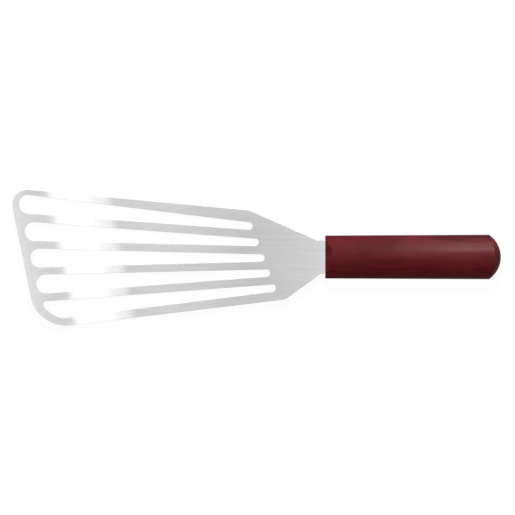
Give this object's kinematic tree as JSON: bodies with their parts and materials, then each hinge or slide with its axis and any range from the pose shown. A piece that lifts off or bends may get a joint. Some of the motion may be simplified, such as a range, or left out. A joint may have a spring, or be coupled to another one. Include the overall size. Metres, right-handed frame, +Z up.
{
  "type": "fish spatula",
  "caption": "Slotted fish turner: a wide thin steel blade with tapering slots, a curled slanted front edge and a dark red moulded grip.",
  "frame": {"origin": "on the table, under the middle of the tool's length and width as it lies there", "axes": "+X from the blade to the end of the grip, +Y across to the blade's longer side, +Z up from the table, on the side the blade curls towards"},
  "size_m": [0.359, 0.1, 0.0219],
  "materials": {
    "blade_steel": "satin stainless sheet with fine grinding lines along its length",
    "grip_nylon": "dark red glass-filled moulding with a soft sheen"
  },
  "bodies": {
    "root": {"blade": "blade_steel", "handle": "grip_nylon"}
  },
  "joints": []
}
